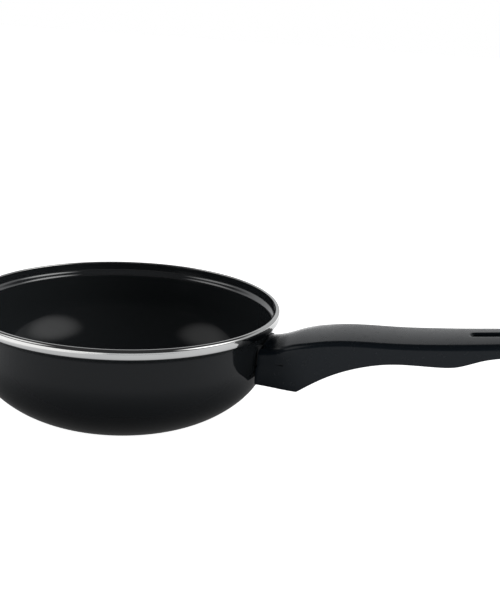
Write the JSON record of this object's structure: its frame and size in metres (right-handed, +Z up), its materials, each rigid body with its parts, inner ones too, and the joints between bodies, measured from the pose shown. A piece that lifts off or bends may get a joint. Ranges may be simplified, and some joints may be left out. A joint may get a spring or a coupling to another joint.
{
  "type": "melting_pan",
  "caption": "Small black enamelled steel pan with a stainless steel rim trim and a single black phenolic side handle with a hanging slot, for melting wax or soap base.",
  "frame": {"origin": "centre of the flat base, on the pan's axis", "axes": "+X along the handle, +Z up through the mouth of the pan, +Y to the left of the handle"},
  "size_m": [0.293, 0.16, 0.0687],
  "materials": {
    "black_enamel": "vitreous enamel fired on pressed steel, deep black gloss",
    "stainless_trim": "polished stainless steel strip",
    "black_phenolic": "moulded black phenolic, semi-gloss",
    "plated_steel": "zinc-plated steel fasteners"
  },
  "bodies": {
    "root": {"pan_body": "black_enamel", "rim_trim": "stainless_trim", "handle_bracket": "black_enamel", "bracket_nut": "plated_steel", "handle_grip": "black_phenolic", "handle_screw": "plated_steel", "flat_washer": "plated_steel", "spring_washer": "plated_steel"}
  },
  "joints": []
}
